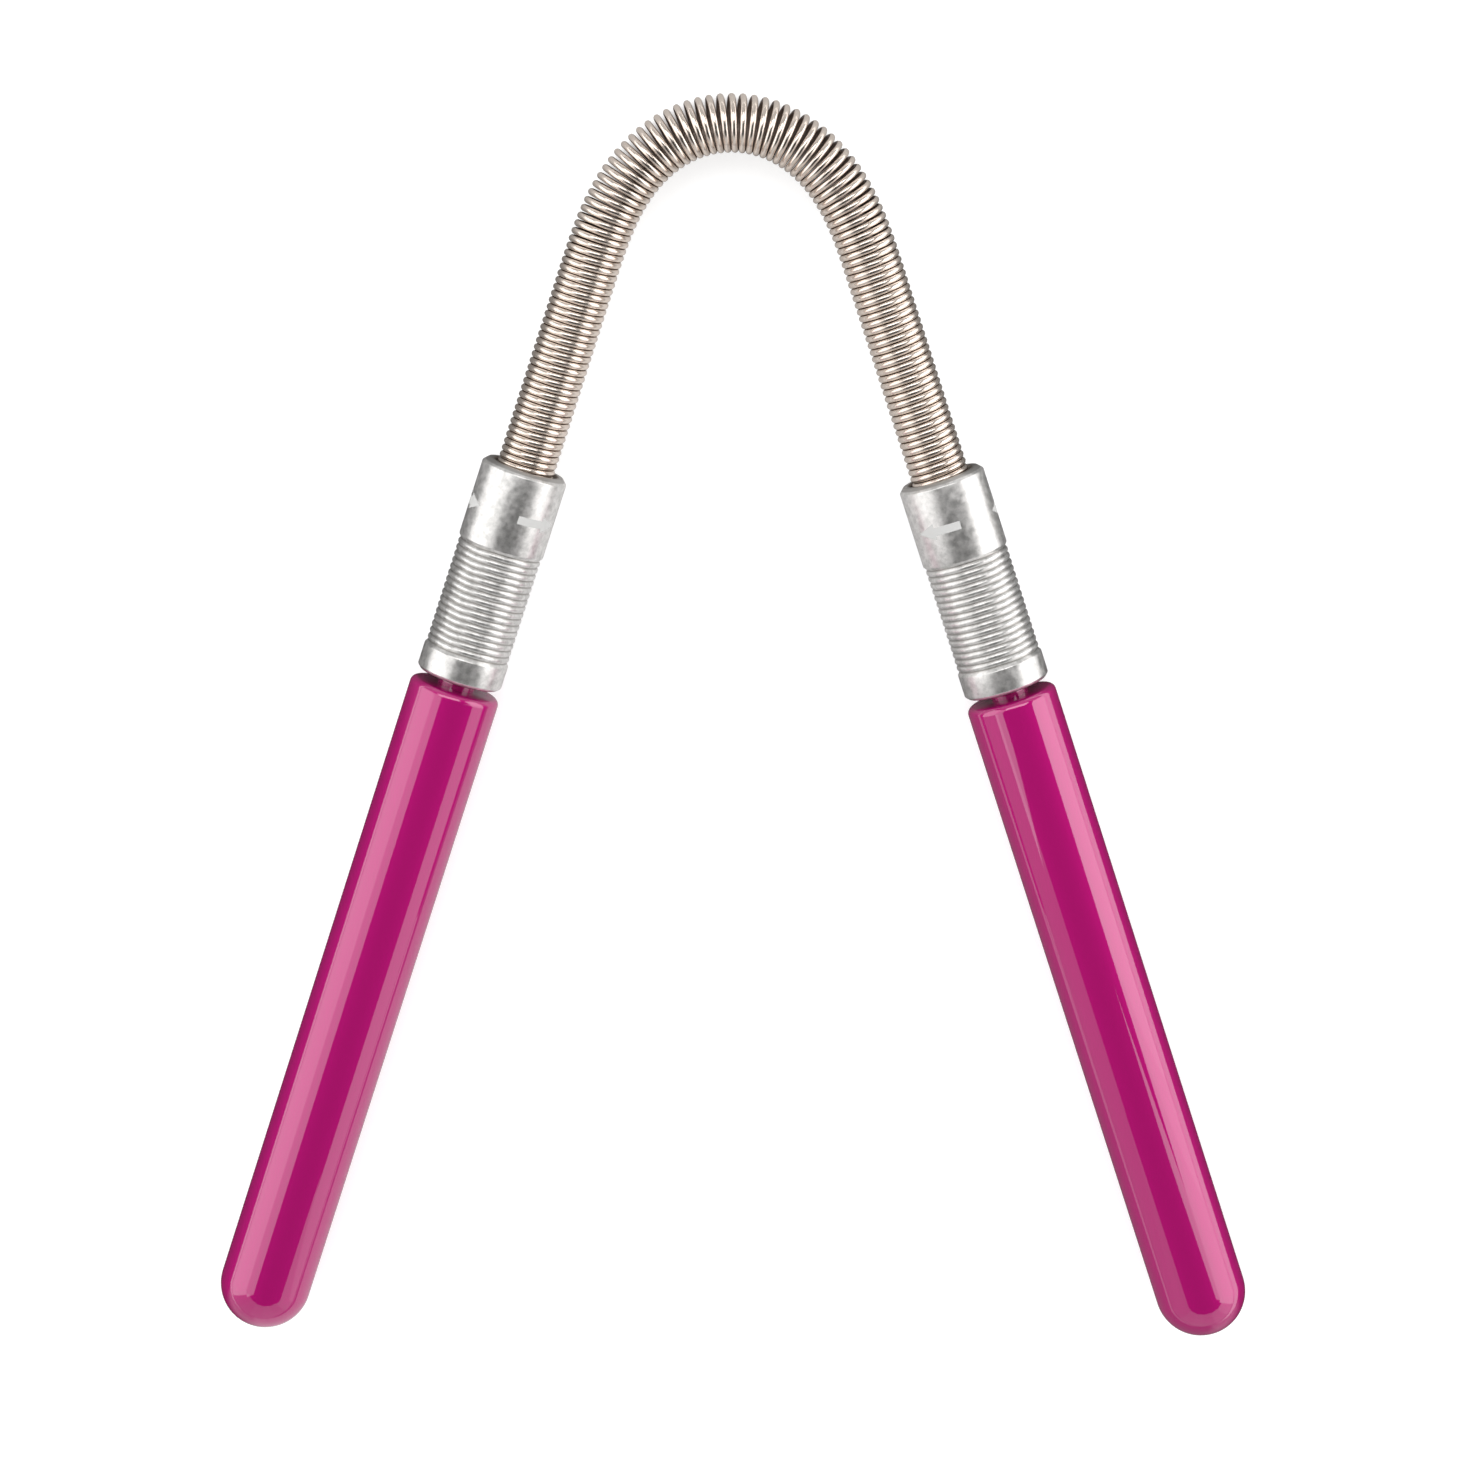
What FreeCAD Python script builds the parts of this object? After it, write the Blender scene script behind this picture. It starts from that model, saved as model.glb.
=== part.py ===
# Facial hair removal spring: a close-wound coil spring bent into an arch, held at each end
# in a grooved metal ferrule, with a round-ended handle that swivels below each ferrule.
# It lies flat: the arch points along +Y and the handles rest on the floor, at Z = 0.
# The origin is the middle of the outline, at floor level. Millimetres and degrees.
import FreeCAD
import Part
import Sketcher
import math
import os

Vector = FreeCAD.Vector

SIZES = [
    # coil spring
    ("wire_diameter", 0.6, "spring wire"),
    ("coil_outer_diameter", 5.1, "outside of the coil"),
    ("turn_gap", 0.01, "space between neighbouring turns where they come closest"),
    ("bend_half_length", 19.2, "centre line from the top of the arch to a straight leg"),
    ("leg_splay", 18.0, "angle between a leg and the middle line"),
    ("left_free_length", 36.9, "centre line from the top of the arch to the left ferrule"),
    ("right_free_length", 37.7, "centre line from the top of the arch to the right ferrule"),
    ("coil_insertion", 9.0, "length of coil inside each ferrule"),
    ("end_flare", 0.2, "how far the end turns open out, on the radius"),
    ("flare_lead", 0.4, "where the turns start to open, ahead of the ferrule"),
    ("flare_depth", 2.5, "where the turns are fully open, inside the ferrule"),
    ("lengths_per_turn", 8, "straight lengths that draw one turn of wire"),
    ("wire_sides", 5, "flats that draw the round of the wire"),
    # ferrule
    ("ferrule_diameter", 7.6, "outside of the plain bands"),
    ("upper_band", 7.5, "plain band at the spring's side"),
    ("lower_band", 2.6, "plain band at the handle's side"),
    ("groove_count", 17, "grip grooves"),
    ("groove_pitch", 0.5875, "from one grip groove to the next"),
    ("groove_depth", 0.15, "depth of a grip groove"),
    ("groove_half_width", 0.2, "half the width of a grip groove"),
    ("grip_step", 0.1, "how far the grooved stretch lies below the bands, on the radius"),
    ("mouth_bevel", 0.45, "bevel round the spring's side"),
    ("foot_bevel", 0.3, "bevel round the handle's side"),
    ("mouth_lead", 0.12, "small bevel inside the mouth"),
    ("bore_clearance", 0.1, "between the end turns and their bore, on the radius"),
    ("seat_width", 0.35, "shoulder that the plug sits on"),
    ("web_thickness", 3.5, "wall that the handle's journal turns in"),
    # spring plug
    ("plug_flange", 0.5, "thickness of the plug's flange"),
    ("plug_taper", 1.6, "length of the plug's tapered nose"),
    ("plug_nose_diameter", 2.6, "small end of the nose"),
    ("fit_clearance", 0.05, "between the plug and what it fits, on the radius"),
    # swivel
    ("neck_gap", 0.8, "gap that shows between ferrule and handle"),
    ("neck_diameter", 3.3, "neck that shows in the gap"),
    ("shoulder_width", 0.35, "shoulder between neck and journal"),
    ("running_clearance", 0.05, "between journal and web, on the radius"),
    ("end_play", 0.1, "play along the swivel's axis, at each side of the web"),
    # retaining screw
    ("screw_head_diameter", 3.9, "head that holds the journal in"),
    ("screw_head_height", 1.1, "height of the head"),
    ("screw_head_bevel", 0.25, "bevel round the head"),
    ("screw_diameter", 1.6, "shank"),
    ("screw_length", 5.0, "shank below the head"),
    ("screw_clearance", 0.04, "between shank and hole, on the radius"),
    ("slot_width", 0.5, "slot for the driver"),
    ("slot_depth", 0.5, "slot for the driver"),
    # handle
    ("handle_diameter", 8.0, "round bar"),
    ("handle_length", 60.8, "from the flat end to the tip of the round end"),
    ("handle_edge", 0.6, "rounding of the flat end's edge"),
]

doc = FreeCAD.newDocument("facial_hair_removal_spring")


def make_sheet():
    """The driving dimensions, one row each."""
    sheet = doc.addObject("Spreadsheet::Sheet", "sizes")
    for row, (name, value, meaning) in enumerate(SIZES, start=1):
        sheet.set(f"A{row}", name)
        sheet.set(f"B{row}", str(value))
        sheet.set(f"C{row}", meaning)
        sheet.setAlias(f"B{row}", name)
    doc.recompute()
    return sheet


class Amount:
    """A size worked out from the sheet: its number, and the expression that binds it."""

    def __init__(self, value, words):
        self.value = float(value)
        self.words = words

    def joined(self, sign, other, result):
        other_words = other.words if isinstance(other, Amount) else str(other)
        return Amount(result, f"({self.words} {sign} {other_words})")

    def __add__(self, other):
        return self.joined("+", other, self.value + number(other))

    def __sub__(self, other):
        return self.joined("-", other, self.value - number(other))

    def __mul__(self, other):
        return self.joined("*", other, self.value * number(other))

    def __truediv__(self, other):
        return self.joined("/", other, self.value / number(other))


def number(amount):
    return amount.value if isinstance(amount, Amount) else float(amount)


def cell(name):
    return Amount(getattr(sheet, name), f"sizes.{name}")


sheet = make_sheet()
NOTHING = Amount(0, "0")
ARC_CENTRE = 3

# Radii and depths that several pieces share. A depth runs along a leg, from the ferrule's
# mouth towards the handle's tip.
band_radius = cell("ferrule_diameter") / 2
grip_radius = band_radius - cell("grip_step")
grip_length = (cell("groove_count") - 1) * cell("groove_pitch")
ferrule_length = cell("upper_band") + grip_length + cell("lower_band")
coil_radius = cell("coil_outer_diameter") / 2
bore_radius = coil_radius + cell("end_flare") + cell("bore_clearance")
chamber_radius = bore_radius - cell("seat_width")
seat_depth = cell("coil_insertion") + cell("plug_flange")
web_depth = ferrule_length - cell("web_thickness")
neck_radius = cell("neck_diameter") / 2
journal_radius = neck_radius - cell("shoulder_width")
journal_end = web_depth - cell("end_play")
handle_radius = cell("handle_diameter") / 2
handle_top = ferrule_length + cell("neck_gap")
handle_tip = handle_top + cell("handle_length")
round_end_depth = handle_tip - handle_radius


def origin_feature(body, role):
    return next(feature for feature in body.Origin.OriginFeatures if feature.Role == role)


def closed_outline(body, name, corners):
    """A sketch in the body's XZ plane. A corner is (radius, depth), or (radius, depth,
    centre radius, centre depth) where a quarter round leads to it."""
    sketch = body.newObject("Sketcher::SketchObject", name)
    sketch.AttachmentSupport = [(origin_feature(body, "XZ_Plane"), "")]
    sketch.MapMode = "FlatFace"
    spots = [Vector(corner[0].value, corner[1].value, 0) for corner in corners]
    ends = []
    for index, corner in enumerate(corners):
        before, here = spots[index - 1], spots[index]
        if len(corner) == 2:
            sketch.addGeometry(Part.LineSegment(before, here), False)
            ends.append((1, 2))
            continue
        centre = Vector(corner[2].value, corner[3].value, 0)
        outward = ((before + here) * 0.5 - centre).normalize()
        crown = centre + outward * (here - centre).Length
        sketch.addGeometry(Part.Arc(before, crown, here), False)
        stored_start = sketch.Geometry[index].StartPoint
        ends.append((1, 2) if (stored_start - before).Length < (stored_start - here).Length else (2, 1))
    for index, corner in enumerate(corners):
        following = (index + 1) % len(corners)
        last = ends[index][1]
        sketch.addConstraint(
            Sketcher.Constraint("Coincident", index, last, following, ends[following][0])
        )
        bind_point(sketch, index, last, corner[0], corner[1])
        if len(corner) == 4:
            bind_point(sketch, index, ARC_CENTRE, corner[2], corner[3])
    return sketch


def bind_point(sketch, edge, point, radius, depth):
    """Ties one point of a sketch to its radius and depth. The two ends of an arc already
    settle how deep its centre lies, so a centre is tied by its radius alone."""
    for axis, amount in (("DistanceX", radius), ("DistanceY", depth)):
        if point == ARC_CENTRE and axis == "DistanceY":
            continue
        place = sketch.addConstraint(
            Sketcher.Constraint(axis, -1, 1, edge, point, amount.value)
        )
        if amount is not NOTHING:
            sketch.setExpression(f"Constraints[{place}]", amount.words)


def turned_body(label, corners):
    """A body turned about its own Z axis."""
    body = doc.addObject("PartDesign::Body", label)
    body.Label = label
    sketch = closed_outline(body, f"{label}_outline", corners)
    turned = body.newObject("PartDesign::Revolution", f"{label}_turned")
    turned.Profile = sketch
    turned.ReferenceAxis = (sketch, ["V_Axis"])
    turned.Angle = 360
    return body


def make_ferrule(label):
    """A sleeve: bore for the spring, chamber for the screw head, web for the journal."""
    bevel = cell("mouth_bevel")
    foot = cell("foot_bevel")
    lead = cell("mouth_lead")
    grip_end = cell("upper_band") + grip_length
    web_bore = journal_radius + cell("running_clearance")
    body = turned_body(label, [
        (bore_radius + lead, NOTHING),
        (band_radius - bevel, NOTHING),
        (band_radius, bevel),
        (band_radius, cell("upper_band")),
        (grip_radius, cell("upper_band")),
        (grip_radius, grip_end),
        (band_radius, grip_end),
        (band_radius, ferrule_length - foot),
        (band_radius - foot, ferrule_length),
        (web_bore, ferrule_length),
        (web_bore, web_depth),
        (chamber_radius, web_depth),
        (chamber_radius, seat_depth),
        (bore_radius, seat_depth),
        (bore_radius, lead),
    ])
    doc.recompute()
    cut_grip_grooves(body, label)
    return body


def cut_grip_grooves(body, label):
    """One V groove round the ferrule, repeated along it."""
    depth = cell("groove_depth")
    first = cell("upper_band")
    outside = band_radius + cell("grip_step")
    half_width = cell("groove_half_width") * (outside - grip_radius + depth) / depth
    sketch = closed_outline(body, f"{label}_groove_outline", [
        (grip_radius - depth, first),
        (outside, first - half_width),
        (outside, first + half_width),
    ])
    groove = body.newObject("PartDesign::Groove", f"{label}_groove")
    groove.Profile = sketch
    groove.ReferenceAxis = (sketch, ["V_Axis"])
    groove.Angle = 360
    doc.recompute()
    pattern = body.newObject("PartDesign::LinearPattern", f"{label}_grooves")
    pattern.Originals = [groove]
    pattern.Direction = (origin_feature(body, "Z_Axis"), [""])
    pattern.setExpression("Occurrences", "sizes.groove_count")
    pattern.setExpression("Length", grip_length.words)
    body.Tip = pattern


def make_handle(label):
    """A round bar with a round end, a neck, and a journal bored for its screw."""
    edge = cell("handle_edge")
    hole = cell("screw_diameter") / 2 + cell("screw_clearance")
    hole_end = journal_end + cell("screw_length") + cell("screw_diameter") / 2
    neck_shoulder = ferrule_length + cell("end_play")
    return turned_body(label, [
        (hole, journal_end),
        (journal_radius, journal_end),
        (journal_radius, neck_shoulder),
        (neck_radius, neck_shoulder),
        (neck_radius, handle_top),
        (handle_radius - edge, handle_top),
        (handle_radius, handle_top + edge, handle_radius - edge, handle_top + edge),
        (handle_radius, round_end_depth),
        (NOTHING, handle_tip, NOTHING, round_end_depth),
        (NOTHING, hole_end),
        (hole, hole_end - hole),
    ])


def make_retaining_screw(label):
    """A slotted screw whose head is wider than the web's bore."""
    head = cell("screw_head_diameter") / 2
    bevel = cell("screw_head_bevel")
    shank = cell("screw_diameter") / 2
    top = journal_end - cell("screw_head_height")
    tip = journal_end + cell("screw_length")
    body = turned_body(label, [
        (NOTHING, top),
        (head - bevel, top),
        (head, top + bevel),
        (head, journal_end),
        (shank, journal_end),
        (shank, tip - bevel),
        (shank - bevel, tip),
        (NOTHING, tip),
    ])
    doc.recompute()
    half_slot = cell("slot_width") / 2
    slot_floor = top + cell("slot_depth")
    above = top - cell("slot_depth")
    sketch = closed_outline(body, f"{label}_slot_outline", [
        (NOTHING - half_slot, above),
        (half_slot, above),
        (half_slot, slot_floor),
        (NOTHING - half_slot, slot_floor),
    ])
    slot = body.newObject("PartDesign::Pocket", f"{label}_slot")
    slot.Profile = sketch
    slot.Midplane = True
    slot.setExpression("Length", "2 * sizes.screw_head_diameter")
    body.Tip = slot
    return body


def make_spring_plug(label):
    """A headed spigot inside the spring's end, seated on the ferrule's shoulder."""
    clearance = cell("fit_clearance")
    flange = bore_radius - clearance
    # The straight lengths that draw a turn pass nearer to the axis than the true round.
    flat_of_turn = Amount(
        math.cos(math.pi / sheet.lengths_per_turn), "cos(180 deg / sizes.lengths_per_turn)"
    )
    end_turn_radius = coil_radius + cell("end_flare") - cell("wire_diameter") / 2
    body_radius = end_turn_radius * flat_of_turn - cell("wire_diameter") / 2 - clearance
    nose = cell("plug_nose_diameter") / 2
    nose_depth = cell("flare_depth") + clearance
    return turned_body(label, [
        (NOTHING, nose_depth),
        (nose, nose_depth),
        (body_radius, nose_depth + cell("plug_taper")),
        (body_radius, cell("coil_insertion")),
        (flange, cell("coil_insertion")),
        (flange, seat_depth),
        (NOTHING, seat_depth),
    ])


# The arch. A length runs along the coil's centre line, away from the top of the arch.
def slope(length):
    """Fall of the centre line below level, in radians. It eases into the straight leg."""
    share = min(length / sheet.bend_half_length, 1.0)
    return math.radians(90 - sheet.leg_splay) * math.sin(math.pi * share / 2)


def curvature(length):
    share = min(length / sheet.bend_half_length, 1.0)
    steepest = math.radians(90 - sheet.leg_splay) * math.pi / (2 * sheet.bend_half_length)
    return steepest * math.cos(math.pi * share / 2)


def walk(place, length, step):
    """Moves one short step down the right half of the centre line."""
    middle = slope(length + step / 2)
    return place + Vector(math.cos(middle), -math.sin(middle), 0) * step


def leg_start(free_length):
    """Where the right half of the centre line reaches a ferrule's mouth."""
    steps = 400
    step = free_length / steps
    place = Vector(0, 0, 0)
    for index in range(steps):
        place = walk(place, index * step, step)
    return place


def smooth_rise(share):
    share = min(max(share, 0.0), 1.0)
    return share * share * (3 - 2 * share)


def wire_centre_radius(length, free_length):
    """The coil's radius to the middle of the wire. The end turns open out."""
    wire_radius = sheet.wire_diameter / 2
    flare_start = free_length - sheet.flare_lead
    flare = smooth_rise((length - flare_start) / (sheet.flare_lead + sheet.flare_depth))
    return coil_radius.value - wire_radius + sheet.end_flare * flare


def half_coil(side, free_length):
    """Corner points of the wire from the top of the arch to one end, with the direction
    from the coil's axis to each. side is 1 on the right and -1 on the left."""
    steps_per_corner = 6
    corners_per_turn = int(sheet.lengths_per_turn)
    turn = 2 * math.pi / corners_per_turn
    wire_end = sheet.wire_diameter / 2 + sheet.fit_clearance
    last_length = free_length + sheet.coil_insertion - wire_end
    corners = []
    place = Vector(0, 0, 0)
    length = 0.0
    index = 0
    while length <= last_length:
        fall = slope(length)
        outward = Vector(side * math.sin(fall), math.cos(fall), 0)
        angle = side * turn * index
        spoke = outward * math.cos(angle) + Vector(0, 0, math.sin(angle))
        centre = Vector(side * place.x, place.y, 0)
        corners.append((centre + spoke * wire_centre_radius(length, free_length), spoke))
        for _ in range(steps_per_corner):
            # On the inside of the bend the turns touch, so the centre line's pitch opens.
            inside = 1 - curvature(length) * wire_centre_radius(length, free_length)
            pitch = (sheet.wire_diameter + sheet.turn_gap) / inside
            step = pitch / (corners_per_turn * steps_per_corner)
            place = walk(place, length, step)
            length += step
        index += 1
    return corners


def wire_section(before, here, after, spoke):
    """The wire's outline at a corner, square to its run, with one point facing outwards."""
    along = (after - before).normalize()
    outward = (spoke - along * spoke.dot(along)).normalize()
    across = along.cross(outward)
    sides = int(sheet.wire_sides)
    radius = sheet.wire_diameter / 2
    angles = [2 * math.pi * point / sides for point in range(sides)]
    return [
        here + (outward * math.cos(angle) + across * math.sin(angle)) * radius
        for angle in angles
    ]


def make_coil_spring(label):
    """One right-handed wire from end to end, bent with the arch."""
    left = half_coil(-1, sheet.left_free_length)
    right = half_coil(1, sheet.right_free_length)
    corners = left[:0:-1] + right
    spots = [spot for spot, _ in corners]
    sections = []
    for index, (spot, spoke) in enumerate(corners):
        before = spots[max(index - 1, 0)]
        after = spots[min(index + 1, len(spots) - 1)]
        sections.append(wire_section(before, spot, after, spoke))
    sides = len(sections[0])
    points = [point for section in sections for point in section]
    facets = []
    for start in range(0, (len(sections) - 1) * sides, sides):
        for point in range(sides):
            following = (point + 1) % sides
            near, near_next = start + point, start + following
            far, far_next = near + sides, near_next + sides
            facets += [(near, near_next, far_next), (near, far_next, far)]
    last = len(points) - sides
    for point in range(1, sides - 1):
        facets.append((0, point + 1, point))
        facets.append((last, last + point, last + point + 1))
    skin = Part.Shape()
    tightness = 0.0001
    skin.makeShapeFromMesh((points, facets), tightness)
    solid = Part.Solid(skin)
    if solid.Volume < 0:
        solid.reverse()
    spring = doc.addObject("Part::Feature", label)
    spring.Label = label
    spring.Shape = solid
    return spring


def leg_placement(side, free_length, middle):
    """Puts a piece's own axis on a leg, with its zero depth at the ferrule's mouth."""
    mouth = leg_start(free_length)
    splay = math.radians(sheet.leg_splay)
    along = Vector(side * math.sin(splay), -math.cos(splay), 0)
    turn = FreeCAD.Rotation(Vector(0, 0, 1), along)
    return FreeCAD.Placement(middle + Vector(side * mouth.x, mouth.y, 0), turn)


def top_of_arch():
    """Where the top of the centre line lies, so that the outline is centred on the origin."""
    splay = math.radians(sheet.leg_splay)
    left = leg_start(sheet.left_free_length)
    right = leg_start(sheet.right_free_length)
    reach_down = round_end_depth.value * math.cos(splay)
    lowest = min(left.y, right.y) - reach_down - handle_radius.value
    sideways = (left.x - right.x) / 2
    return Vector(sideways, -(lowest + coil_radius.value) / 2, handle_radius.value)


def build():
    middle = top_of_arch()
    spring = make_coil_spring("coil_spring")
    spring.Placement = FreeCAD.Placement(middle, FreeCAD.Rotation())
    pieces = [spring]
    makers = {
        "ferrule": make_ferrule,
        "spring_plug": make_spring_plug,
        "handle": make_handle,
        "retaining_screw": make_retaining_screw,
    }
    for name, side, free_length in (
        ("left", -1, sheet.left_free_length),
        ("right", 1, sheet.right_free_length),
    ):
        placement = leg_placement(side, free_length, middle)
        for piece_name, maker in makers.items():
            piece = maker(f"{name}_{piece_name}")
            piece.Placement = placement
            pieces.append(piece)
    doc.recompute()
    return pieces


def check(pieces):
    for entry in doc.Objects:
        faults = {"Invalid", "Error"} & set(entry.State)
        if faults:
            raise RuntimeError(f"{entry.Label} failed: {sorted(faults)}")
    for piece in pieces:
        shape = piece.Shape
        if shape.isNull() or not shape.isValid() or len(shape.Solids) != 1:
            raise RuntimeError(f"{piece.Label} is not one valid solid")


def write(pieces):
    os.makedirs("parts", exist_ok=True)
    for piece in pieces:
        piece.Shape.exportStep(f"parts/{piece.Label}.step")
        box = piece.Shape.BoundBox
        print(f"{piece.Label}: {piece.Shape.Volume:.2f} mm3, X {box.XMin:.2f} to {box.XMax:.2f}, "
              f"Y {box.YMin:.2f} to {box.YMax:.2f}, Z {box.ZMin:.2f} to {box.ZMax:.2f}")


pieces = build()
check(pieces)
write(pieces)
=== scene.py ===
# Looks of the facial hair removal spring: a round wire coil, ridged ferrules with direction
# marks, and glossy pink handles that swivel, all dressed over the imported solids.
# Sizes here are in millimetres and degrees, except in the lights, which are in metres.
import math

import bmesh
import bpy
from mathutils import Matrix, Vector


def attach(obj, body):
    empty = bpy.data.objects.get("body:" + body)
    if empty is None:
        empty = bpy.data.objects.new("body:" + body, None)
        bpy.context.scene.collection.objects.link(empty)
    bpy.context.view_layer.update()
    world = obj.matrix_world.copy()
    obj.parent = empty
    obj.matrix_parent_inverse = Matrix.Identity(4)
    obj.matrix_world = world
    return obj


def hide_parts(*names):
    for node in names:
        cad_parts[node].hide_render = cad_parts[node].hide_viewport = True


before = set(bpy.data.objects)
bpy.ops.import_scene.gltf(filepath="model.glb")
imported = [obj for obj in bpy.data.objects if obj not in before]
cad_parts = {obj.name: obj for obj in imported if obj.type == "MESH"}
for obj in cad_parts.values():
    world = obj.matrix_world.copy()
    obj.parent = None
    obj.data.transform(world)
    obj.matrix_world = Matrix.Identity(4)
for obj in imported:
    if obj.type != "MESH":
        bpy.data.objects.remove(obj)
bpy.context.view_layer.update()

MM = 0.001
SIDES = {"left": -1, "right": 1}

# how many sides a turned piece has, and how close two points are when they are made one
SEGMENTS = 128
MERGE_DISTANCE = 0.0005

# coil spring
WIRE_DIAMETER = 0.6
COIL_DIAMETER = 5.1
TURN_GAP = 0.01
BEND_HALF_LENGTH = 19.2
LEG_SPLAY = math.radians(18)
FREE_LENGTH = {"left": 36.9, "right": 37.7}
COIL_INSERTION = 9.0
COIL_END_GAP = 0.35
END_FLARE = 0.2
FLARE_LEAD = 0.4
FLARE_DEPTH = 2.5
STEPS_PER_TURN = 30
WIRE_SIDES = 14
TURN_SIDE = "turn_side"
TURN_OUTWARD = "turn_outward"

# ferrule
BAND_RADIUS = 3.8
UPPER_BAND = 7.5
LOWER_BAND = 2.6
GROOVE_PITCH = 0.5875
RIDGE_COUNT = 16
GRIP_RADIUS = 3.7
VALLEY_RADIUS = 3.55
GROOVE_HALF_WIDTH = 0.2
MOUTH_BEVEL = 0.45
FOOT_BEVEL = 0.3
MOUTH_LEAD = 0.12
BORE_RADIUS = 2.85
CHAMBER_RADIUS = 2.5
SEAT_DEPTH = 9.5
WEB_DEPTH = 16.0
WEB_BORE_RADIUS = 1.35
RIDGE_ROUND = 0.03
SHOULDER_DROP = 0.6
EDGE_ROUND = 0.05
GRIP_END = UPPER_BAND + RIDGE_COUNT * GROOVE_PITCH
FERRULE_LENGTH = GRIP_END + LOWER_BAND

# direction marks, three round each ferrule's upper band, pointing opposite ways on the two sides
MARK_COUNT = 3
MARK_DEPTH = 4.05
MARK_LENGTH = 4.2
MARK_HEAD_LENGTH = 1.8
MARK_HEAD_HEIGHT = 1.45
MARK_SHAFT_HEIGHT = 0.72
MARK_SHOULDER = 0.02
MARK_RELIEF = 0.01
FIRST_MARK = {"left": math.radians(-45.8), "right": math.radians(63)}

# handle
HANDLE_RADIUS = 4.0
HANDLE_TOP = FERRULE_LENGTH + 0.8
HANDLE_TIP = HANDLE_TOP + 60.8
HANDLE_EDGE = 0.6
NECK_RADIUS = 1.65
NECK_SHOULDER = FERRULE_LENGTH + 0.1
JOURNAL_RADIUS = 1.3
JOURNAL_END = 15.9
SCREW_HOLE_RADIUS = 0.84
SCREW_HOLE_END = 21.7

# finishes
BRIGHT_WIRE = (0.97, 0.85, 0.755, 1)
# painted shade for the inside of the coil
INNER_SHADE_WIRE = (0.34, 0.27, 0.23, 1)
# painted shade for the gaps between the coil's turns
SHADED_WIRE = (0.15, 0.11, 0.09, 1)
CLEAR_ALUMINIUM = (0.98, 0.96, 0.94, 1)
CLOUDY_ALUMINIUM = (0.68, 0.67, 0.65, 1)
# painted shade for the bottoms of the grip grooves
GROOVE_SHADE_ALUMINIUM = (0.50, 0.48, 0.46, 1)
PINK = (0.46, 0.0045, 0.165, 1)
FROSTED = (0.54, 0.54, 0.53, 1)
PLAIN_STEEL = (0.6, 0.6, 0.6, 1)
FLOOR_SHADOW = (0.26, 0.22, 0.2, 1)
WHITE = (1, 1, 1, 1)

# How bright the floor is to the camera, to soft light and, place by place, in reflections, where the
# levels are painted shade.
FLOOR_GLOW = 0.5
FLOOR_SEEN = 0.62
FLOOR_LIT = 0.88
INSIDE_LEFT_LEG = 0.55
INSIDE_RIGHT_LEG = 0.4
INSIDE_RIGHT_HANDLE = 0.15
PAST_TIPS = 0.35
PAST_HANDLES = 0.03
PAST_FERRULES = 0.1
PAST_COIL = 0.17
PAST_ARCH = 0.38
FAR_FLOOR = 1.0
FAR_FRONT_FLOOR = 0.3

# how far the painted shadow beside each leg reaches across the floor, in reflections
LEG_SHADOW_BAND = {"left": 55, "right": 22}

# how bright the world is, softly and in reflections
WORLD_SOFT = 0.75
WORLD_IN_GLOSS = 0.035


def slope(length):
    """Fall of the coil's centre line below level, as it eases into the straight leg."""
    share = min(length / BEND_HALF_LENGTH, 1.0)
    return (math.pi / 2 - LEG_SPLAY) * math.sin(math.pi * share / 2)


def leg_start(free_length):
    """How far across and down the centre line has gone when it reaches a ferrule."""
    steps = 400
    step = free_length / steps
    middles = [slope((index + 0.5) * step) for index in range(steps)]
    across = sum(math.cos(middle) for middle in middles) * step
    down = sum(math.sin(middle) for middle in middles) * step
    return across, down


def top_of_arch():
    """Middle of the wire coil at its top, with the outline centred on the origin."""
    left, right = (leg_start(FREE_LENGTH[side]) for side in SIDES)
    round_end = HANDLE_TIP - HANDLE_RADIUS
    lowest = -max(left[1], right[1]) - round_end * math.cos(LEG_SPLAY) - HANDLE_RADIUS
    return Vector(((left[0] - right[0]) / 2, -(lowest + COIL_DIAMETER / 2) / 2, HANDLE_RADIUS))


def mouth_of(side):
    across, down = leg_start(FREE_LENGTH[side])
    return top_of_arch() + Vector((SIDES[side] * across, -down, 0))


def along_leg(side):
    return Vector((SIDES[side] * math.sin(LEG_SPLAY), -math.cos(LEG_SPLAY), 0))


class Nodes:
    """Lays out one node tree: adds nodes, feeds their inputs and hands back their outputs."""

    def __init__(self, tree):
        self.tree = tree

    def add(self, kind, inputs=None, **settings):
        node = self.tree.nodes.new(kind)
        for setting, value in settings.items():
            setattr(node, setting, value)
        for key, value in (inputs or {}).items():
            self.feed(pick(node.inputs, key), value)
        return node

    def feed(self, socket, value):
        if isinstance(value, bpy.types.Node):
            value = pick(value.outputs, 0)
        if isinstance(value, bpy.types.NodeSocket):
            self.tree.links.new(value, socket)
        else:
            socket.default_value = value

    def math(self, operation, *values, kind="ShaderNodeMath"):
        return self.add(kind, dict(enumerate(values)), operation=operation)

    def vector_math(self, operation, *values):
        return self.math(operation, *values, kind="ShaderNodeVectorMath")

    def scaled(self, vector, amount):
        return self.add("ShaderNodeVectorMath", {0: vector, "Scale": amount}, operation="SCALE")

    def join_xyz(self, x=0.0, y=0.0, z=0.0):
        return self.add("ShaderNodeCombineXYZ", {"X": x, "Y": y, "Z": z})


def pick(sockets, key):
    """A node's socket by its name or its place, among those that its settings leave in use."""
    used = [socket for socket in sockets if socket.enabled]
    if isinstance(key, int):
        return used[key]
    return next(socket for socket in used if socket.name == key)


def new_group(name, kind, inputs, outputs):
    tree = bpy.data.node_groups.new(name, kind)
    for label, socket_type in outputs:
        tree.interface.new_socket(label, in_out="OUTPUT", socket_type=socket_type)
    for label, socket_type in inputs:
        tree.interface.new_socket(label, in_out="INPUT", socket_type=socket_type)
    nodes = Nodes(tree)
    return nodes, nodes.add("NodeGroupInput").outputs, nodes.add("NodeGroupOutput").inputs


GEOMETRY = [("Geometry", "NodeSocketGeometry")]


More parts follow.
